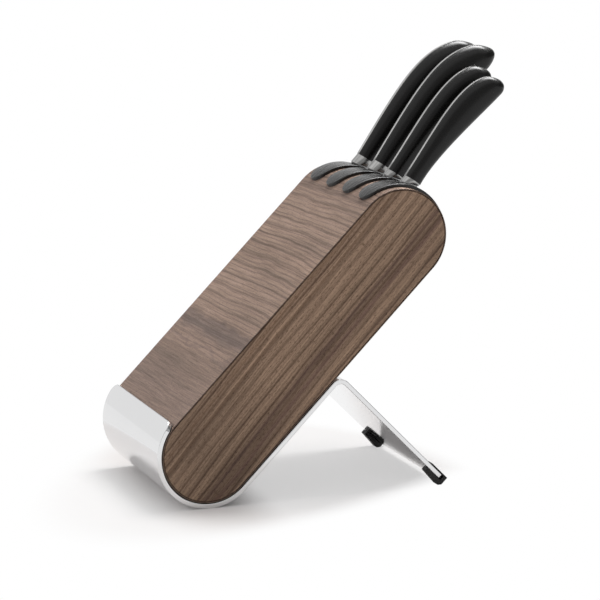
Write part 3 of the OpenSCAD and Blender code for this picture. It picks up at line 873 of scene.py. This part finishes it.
def screwPiece():
    s = screw

    def hexRing(height):
        side, halfSide = math.pi / 3, math.pi / 6
        ring = []
        for j in range(s["sides"]):
            turn = 2 * math.pi * j / s["sides"]
            reach = s["socket"] / math.cos((turn + halfSide) % side - halfSide)
            ring.append((reach * math.cos(turn), reach * math.sin(turn), height))
        return ring

    rings = turned([(0.0, s["socketDepth"])], s["sides"]) + [hexRing(s["socketDepth"]), hexRing(0.0)]
    rings += turned([
        (s["head"] - s["rim"], 0.0),
        (s["head"], s["rim"]),
        (s["shank"], s["headHeight"]),
        (s["shank"], s["length"] - s["tip"]),
        (s["shank"] - s["tip"], s["length"]),
        (0.0, s["length"]),
    ], s["sides"])
    piece = shown("standScrews", cleanMesh("standScrews", *ringLoft(rings, False)))
    low, high = stand["screwX"]
    grown(piece, rowTree(), {
        "Run": high - low, "Spread": 2 * stand["screwY"], "Along": 2, "Across": 2, "Material": screwSteel,
    })
    piece.data.transform(toPart @ Matrix.Translation(((low + high) / 2, 0, -block["standOut"])))
    softShaded(piece, s["sharp"])
    return finished(piece, "block", "screw_steel", screwSteel, "stand_screws")


screwPiece()

# Feet: the CAD clips with softened edges, in metres and degrees
foot = {"flatUnder": 1, "bevelOver": 28, "edge": 0.00045, "steps": 3, "sharp": 40}


def footPiece(name, node):
    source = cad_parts[node].data
    corners = [v.co.copy() for v in source.vertices]
    mesh = cleanMesh(name, corners, [tuple(p.vertices) for p in source.polygons])
    work = bmesh.new()
    work.from_mesh(mesh)
    flat = math.radians(foot["flatUnder"])
    bmesh.ops.dissolve_limit(work, angle_limit=flat, verts=work.verts, edges=work.edges)
    work.to_mesh(mesh)
    work.free()
    piece = shown(name, mesh)
    soft = piece.modifiers.new("soft edge", "BEVEL")
    soft.width = foot["edge"]
    soft.segments = foot["steps"]
    soft.limit_method = "ANGLE"
    soft.angle_limit = math.radians(foot["bevelOver"])
    baked(piece)
    softShaded(piece, foot["sharp"], True)
    return finished(piece, "block", "foot_rubber", footRubber, node)


footPiece("footNear", "foot_near")
footPiece("footFar", "foot_far")
print("screws and feet ready")

# Knives: curves of the handle from the bolster to the butt, drawn for a handle of this length
drawnHandle = 130.0
largeCurves = {
    "spine": [(0, 0), (76.5, 15.3), (101, 20), (130, -5)],
    "belly": [(3, -17.5), (41.5, -18.3), (79, -16), (130, -22)],
}
smallCurves = {
    "spine": [(0, 0), (54.5, 8.2), (108.5, 24.7), (130, -2.3)],
    "belly": [(3, -17.5), (37.5, -8.6), (107, -19.4), (130, -18)],
}
knives = {
    "bread_knife": {
        "slot": 0, "blade": (220.0, 32.0), "drop": 0.62, "scallops": True,
        "handle": 130.0, "bolster": 8.4, "curves": largeCurves,
    },
    "cooks_knife": {
        "slot": 1, "blade": (200.0, 43.0), "drop": 0.40, "scallops": False,
        "handle": 130.0, "bolster": 8.4, "curves": largeCurves,
    },
    "utility_knife": {
        "slot": 2, "blade": (140.0, 27.0), "drop": 0.45, "scallops": False,
        "handle": 111.0, "bolster": 5.4, "curves": smallCurves,
    },
    "paring_knife": {
        "slot": 3, "blade": (100.0, 22.0), "drop": 0.50, "scallops": False,
        "handle": 105.0, "bolster": 5.4, "curves": smallCurves,
    },
}
grip = {
    "lift": 23.3,  # of the spine's start over the slot's middle
    "gap": 0.4,  # between the liner's crown and the bolster
    "half": 9.5,
    "neckShare": 0.74,
    "fullAt": 0.6,  # share of the handle where it is full
    "roundAt": 0.89,  # and where the butt begins to close
    "tangHalf": 1.2,
    "leastScale": 0.02,
    "bolsterFoot": 0.9,
    "stations": 56,
    "sides": 24,
    "bolsterSteps": 10,
    "sharp": 62,
}
bladeShape = {
    "inset": 0.8,
    "rootOver": 1.0,  # how far the root runs into the bolster
    "cornerLift": 2.0,
    "heelBack": 6.0,
    "half": 1.1,
    "edgeHalf": 0.2,
    "fullShare": 0.3,
    "spineFall": 0.3,
    "spineNear": 0.08,
    "spineDip": 1.0,
    "edgeRun": 0.5,
    "edgeNear": 0.1,
    "edgeHang": 0.3,
    "scallopPitch": 8.0,
    "scallopDepth": 1.4,
    "scallopShare": 0.45,
    "columns": 220,
    "rows": 12,
    "rearRows": 4,
    "sharp": 35,
}


def bezier(curve, t):
    shares = ((1 - t) ** 3, 3 * t * (1 - t) ** 2, 3 * t * t * (1 - t), t ** 3)
    return sum((Vector(p) * share for p, share in zip(curve, shares)), Vector((0, 0)))


class Knife:
    def __init__(self, facts):
        self.facts = facts
        self.scale = facts["handle"] / drawnHandle
        self.tall = -facts["curves"]["belly"][0][1] * self.scale
        self.slope = math.asin((grip["lift"] - self.tall / 2) / liner["crown"])
        self.neck = self.footX(grip["lift"]) + facts["bolster"]

    def footX(self, z):
        # the bolster's foot is a slope just over the liner's crown
        return (liner["crown"] + grip["gap"] - z * math.sin(self.slope)) / math.cos(self.slope)

    def fullness(self, t):
        # the butt closes like a ball, in height and in thickness
        gone = max(0, (t - grip["roundAt"]) / (1 - grip["roundAt"]))
        return math.sqrt(max(0, 1 - gone * gone))

    def on(self, name, t):
        curves = self.facts["curves"]
        spine, belly = bezier(curves["spine"], t), bezier(curves["belly"], t)
        way = 1 if name == "spine" else -1
        across = spine + belly + way * self.fullness(t) * (spine - belly)
        return Vector((self.neck, grip["lift"])) + self.scale / 2 * across

    def half(self, t):
        swell = math.sin(quarterTurn * min(1, t / grip["fullAt"]))
        share = grip["neckShare"] + (1 - grip["neckShare"]) * swell
        return grip["half"] * self.scale * share * self.fullness(t)


def alongHandle():
    # from the neck to the butt, closer together towards the butt
    return [math.sin(quarterTurn * i / grip["stations"]) for i in range(grip["stations"] + 1)]


def between(spine, belly, turn):
    return (spine + belly) / 2 + (spine - belly) / 2 * math.cos(turn)


def scalesMesh(name, knife):
    rings = {1: [], -1: []}
    tang = grip["tangHalf"]
    for t in alongHandle():
        spine, belly = knife.on("spine", t), knife.on("belly", t)
        half = max(knife.half(t), tang + grip["leastScale"])
        for side in rings:
            ring = []
            for j in range(grip["sides"] + 1):
                turn = math.pi * j / grip["sides"]
                c = between(spine, belly, turn)
                ring.append((c.x, side * (tang + (half - tang) * math.sin(turn)), c.y))
            rings[side].append(ring)
    return together(name, [cleanMesh(name, *ringLoft(rings[side])) for side in rings])


def bolsterMesh(knife):
    high, low = grip["lift"], grip["lift"] - knife.tall
    footSpine, footBelly = Vector((knife.footX(high), high)), Vector((knife.footX(low), low))
    neckSpine, neckBelly = knife.on("spine", 0), knife.on("belly", 0)
    neck = knife.half(0)
    rings = []
    for i in range(grip["bolsterSteps"] + 1):
        t = i / grip["bolsterSteps"]
        spine, belly = footSpine.lerp(neckSpine, t), footBelly.lerp(neckBelly, t)
        half = neck * (grip["bolsterFoot"] + (1 - grip["bolsterFoot"]) * math.sin(quarterTurn * t))
        ring = []
        for j in range(2 * grip["sides"]):
            turn = math.pi * j / grip["sides"]
            c = between(spine, belly, turn)
            ring.append((c.x, half * math.sin(turn), c.y))
        rings.append(ring)
    return cleanMesh("bolster", *ringLoft(rings))


def tangMesh(knife):
    half = grip["tangHalf"]
    rings = []
    for t in alongHandle():
        s, b = knife.on("spine", t), knife.on("belly", t)
        rings.append([(s.x, half, s.y), (s.x, -half, s.y), (b.x, -half, b.y), (b.x, half, b.y)])
    return cleanMesh("tang", *ringLoft(rings))


def bladeMesh(knife):
    b = bladeShape
    length, height = knife.facts["blade"]
    top = grip["lift"] - b["inset"]
    root = knife.footX(grip["lift"])
    heel = root - b["heelBack"]
    tip = (root - length, top - knife.facts["drop"] * height)
    spine = [
        (root + b["rootOver"], top),
        (tip[0] + length * b["spineFall"], top),
        (tip[0] + length * b["spineNear"], top - b["spineDip"]),
        tip,
    ]
    edge = [
        (heel, top - height),
        (heel - length * b["edgeRun"], top - height),
        (tip[0] + length * b["edgeNear"], tip[1] - height * b["edgeHang"]),
        tip,
    ]
    low = grip["lift"] - knife.tall
    corner = Vector((knife.footX(low) + b["rootOver"], low + b["cornerLift"]))

    def halfAt(z):
        share = max(0.0, (top - z) / height - b["fullShare"]) / (1 - b["fullShare"])
        return b["half"] + (b["edgeHalf"] - b["half"]) * min(1.0, share)

    def scalloped(point):
        run = heel - b["scallopPitch"] / 2 - point.x
        last = length * b["scallopShare"] + b["scallopPitch"]
        if not knife.facts["scallops"] or run < 0 or run > last:
            return point
        share = run / b["scallopPitch"] % 1 * 2 - 1
        return Vector((point.x, max(point.y, top - height + b["scallopDepth"] * (1 - share * share))))

    # the rear column bends at the corner under the bolster, and the last one is the tip
    s, e, lower = Vector(spine[0]), Vector(edge[0]), b["rows"] - b["rearRows"]
    rear = [s.lerp(corner, r / b["rearRows"]) for r in range(b["rearRows"])]
    rear += [corner.lerp(e, r / lower) for r in range(lower + 1)]
    columns = [rear]
    for i in range(1, b["columns"]):
        t = i / b["columns"]
        s, e = bezier(spine, t), scalloped(bezier(edge, t))
        columns.append([s.lerp(e, r / b["rows"]) for r in range(b["rows"] + 1)])
    rings = []
    for column in columns:
        face = [(p.x, halfAt(p.y), p.y) for p in column]
        rings.append(face + [(x, -y, z) for x, y, z in reversed(face)])
    rings.append([(tip[0], 0.0, tip[1])] * len(rings[0]))
    return cleanMesh("blade", *ringLoft(rings))


for name, facts in knives.items():
    knife = Knife(facts)
    place = topCentre @ Matrix.Translation((0, slotMiddles[facts["slot"]], 0))
    scales = shown(name + "_scales", scalesMesh(name + "_scales", knife))
    scales.data.transform(place)
    softShaded(scales, grip["sharp"])
    finished(scales, name, "handle_plastic", handlePlastic, name + "_scale_near", name + "_scale_far")
    metal = together(name + "_steel", [bladeMesh(knife), bolsterMesh(knife), tangMesh(knife)])
    steel = shown(name + "_steel", metal)
    steel.data.transform(place)
    softShaded(steel, bladeShape["sharp"])
    finished(steel, name, "blade_steel", bladeSteel, name + "_blade")
print("knives ready")

# CAD nodes that stay as they are
kept = {
    "cradle_pad": blackPad,
    "threaded_inserts": insertBrass,
    **{"core_board_%d" % k: walnutCore for k in range(1, block["slots"])},
    **{"slot_spacer_%d" % k: walnutCore for k in slotNumbers},
    **{"slot_magnets_%d" % k: magnetNickel for k in slotNumbers},
}
for node, material in kept.items():
    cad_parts[node].data.materials.clear()
    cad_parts[node].data.materials.append(material)

# Floor, light and camera, in metres
studio = {
    "floorHalf": 6.0,
    "floorTone": (0.94, 0.918, 0.91),
    "shadowCentre": (0.033, 0.1, 0.0),
    "shadowTurn": 0.713,
    "shadowReach": (0.362, 0.159, 1.0),
    "fade": (0.79, 1.0),
    "mirrorFade": (0.19, 0.24),
    "lift": 0.484,  # share of plain white over the shadow
    "heelLift": 0.0,
    "heelFade": (0.021, 0.06),
    "heelReach": (1.0, 4.4, 1.0),
    "ambient": 0.45,
    "target": (-0.0151, 0.0, 0.141),
    "camera": (-0.7719, -2.046, 0.5702),
    "lens": 170.15,
    "sensor": 36.0,
    "clipEnd": 100.0,
}
white = (1, 1, 1, 1)
lamps = {
    "overhead": {"at": (0.6, 0.3, 2.3), "size": (1.1, 1.1), "power": 30.0},
}
cards = {
    "backCard": {"at": (0.0, 2.7, 0.5), "size": (8.0, 1.0), "turn": 0.0, "glow": 0.94},
    "backWall": {"at": (0.0, 2.7, 2.0), "size": (8.0, 2.0), "turn": 0.0, "glow": 0.62},
    "leftCard": {"at": (-2.9, 0.4, 1.5), "size": (5.5, 3.0), "turn": quarterTurn, "glow": 0.94},
    "frontWall": {"at": (0.0, -4.0, 1.5), "size": (12.0, 3.0), "turn": 0.0, "glow": 0.42},
    "rightWall": {"at": (4.0, -0.6, 1.5), "size": (6.6, 3.0), "turn": quarterTurn, "glow": 0.18},
    # lit only under these counts of bounces: a gloss on the first surface that a ray meets
    "topCard": {
        "at": (0.9, 0.75, 2.1), "size": (1.2, 1.6), "turn": 0.0, "tilt": quarterTurn, "glow": 20.0,
        "diffuseUnder": 0.5, "glossyUnder": 1.5,
    },
}


def seenRay(tree):
    # rays that show the white surroundings: from the camera, off metal and through glass
    ray = addNode(tree, "ShaderNodeLightPath").outputs
    bounced = sums(tree, "MAXIMUM", ray["Is Glossy Ray"], ray["Is Transmission Ray"])
    return sums(tree, "MAXIMUM", ray["Is Camera Ray"], bounced)


def mixedShader(tree, share, first, second):
    return addNode(tree, "ShaderNodeMixShader", None, {
        0: share, 1: first.outputs[0], 2: second.outputs[0],
    }).outputs[0]


def floorPiece():
    # near the object the floor takes a light shadow, further off the camera sees plain white
    half = studio["floorHalf"]
    corners = [(-half, -half, 0), (half, -half, 0), (half, half, 0), (-half, half, 0)]
    mesh = bpy.data.meshes.new("floor")
    mesh.from_pydata(corners, [], [(0, 1, 2, 3)])
    floor = shown("floor", mesh)
    material, tree, shader = newMaterial("paleFloor")
    shader.inputs["Base Color"].default_value = (*studio["floorTone"], 1)
    shader.inputs["Roughness"].default_value = 1.0
    shader.inputs["Specular IOR Level"].default_value = 0.0
    where = addNode(tree, "ShaderNodeTexCoord").outputs["Object"]

    def ranged(value, limits, low, high):
        return addNode(tree, "ShaderNodeMapRange", {"interpolation_type": "SMOOTHSTEP"}, {
            "Value": value, "From Min": limits[0], "From Max": limits[1], "To Min": low, "To Max": high,
        }).outputs["Result"]

    def distance(centre, turn, reach):
        # from the centre, measured in the reach along each axis
        space = addNode(tree, "ShaderNodeMapping", {"vector_type": "TEXTURE"}, {
            "Vector": where, "Location": centre, "Rotation": (0, 0, turn), "Scale": reach,
        }).outputs["Vector"]
        return addNode(tree, "ShaderNodeVectorMath", {"operation": "LENGTH"}, {0: space}).outputs["Value"]

    # under the heel the floor keeps its whole shadow
    heel = (lowCentre.x * mm, 0, 0)
    gap = distance(heel, 0.0, studio["heelReach"])
    lift = ranged(gap, studio["heelFade"], studio["heelLift"], studio["lift"])
    inside = distance(studio["shadowCentre"], studio["shadowTurn"], studio["shadowReach"])
    direct = addNode(tree, "ShaderNodeLightPath").outputs["Is Camera Ray"]
    nearShare = sums(tree, "MULTIPLY", ranged(inside, studio["fade"], lift, 1.0), direct)
    away = ranged(distance(heel, 0.0, (1, 1, 1)), studio["mirrorFade"], 0.0, 1.0)
    share = sums(tree, "MAXIMUM", nearShare, sums(tree, "MULTIPLY", away, seenRay(tree)))
    plain = addNode(tree, "ShaderNodeEmission", None, {"Color": white, "Strength": 1.0})
    surface = tree.nodes["Material Output"].inputs["Surface"]
    tree.links.new(mixedShader(tree, share, shader, plain), surface)
    mesh.materials.append(material)


def cardPiece(name, facts):
    # a white card that lights the object and shows in the steel
    wide, tall = facts["size"][0] / 2, facts["size"][1] / 2
    corners = [(-wide, 0, -tall), (wide, 0, -tall), (wide, 0, tall), (-wide, 0, tall)]
    mesh = bpy.data.meshes.new(name)
    mesh.from_pydata(corners, [], [(0, 1, 2, 3)])
    facing = Matrix.Rotation(facts["turn"], 4, "Z") @ Matrix.Rotation(facts.get("tilt", 0.0), 4, "X")
    mesh.transform(Matrix.Translation(facts["at"]) @ facing)
    card = shown(name, mesh)
    material, tree, _ = newMaterial(name)
    glow = addNode(tree, "ShaderNodeEmission", None, {"Color": white, "Strength": facts["glow"]})
    tree.links.new(glow.outputs[0], tree.nodes["Material Output"].inputs["Surface"])
    mesh.materials.append(material)
    card.visible_camera = False
    if "glossyUnder" in facts:
        card.visible_diffuse = card.visible_shadow = False
        ray = addNode(tree, "ShaderNodeLightPath").outputs
        unspread = sums(tree, "LESS_THAN", ray["Diffuse Depth"], facts["diffuseUnder"])
        early = sums(tree, "LESS_THAN", ray["Glossy Depth"], facts["glossyUnder"])
        first = sums(tree, "MULTIPLY", unspread, early)
        tree.links.new(sums(tree, "MULTIPLY", first, facts["glow"]), glow.inputs["Strength"])


def worldLight():
    world = bpy.data.worlds.new("studio")
    scene.world = world
    world.use_nodes = True
    tree = world.node_tree
    tree.nodes.clear()
    glow, plain = (
        addNode(tree, "ShaderNodeBackground", None, {"Color": white, "Strength": strength})
        for strength in (studio["ambient"], 1.0)
    )
    surface = mixedShader(tree, seenRay(tree), glow, plain)
    addNode(tree, "ShaderNodeOutputWorld", None, {"Surface": surface})


def aimed(name, data, at):
    item = bpy.data.objects.new(name, data)
    scene.collection.objects.link(item)
    item.location = at
    item.rotation_euler = (Vector(studio["target"]) - Vector(at)).to_track_quat("-Z", "Y").to_euler()
    return item


floorPiece()
worldLight()
for name, facts in cards.items():
    cardPiece(name, facts)
for name, facts in lamps.items():
    lamp = bpy.data.lights.new(name, "AREA")
    lamp.shape = "RECTANGLE"
    lamp.size, lamp.size_y = facts["size"]
    lamp.energy = facts["power"]
    aimed(name, lamp, facts["at"])
lens = bpy.data.cameras.new("camera")
lens.lens = studio["lens"]
lens.sensor_width = studio["sensor"]
lens.clip_end = studio["clipEnd"]
scene.camera = aimed("camera", lens, studio["camera"])
scene.view_settings.view_transform = "Standard"
print("studio ready")
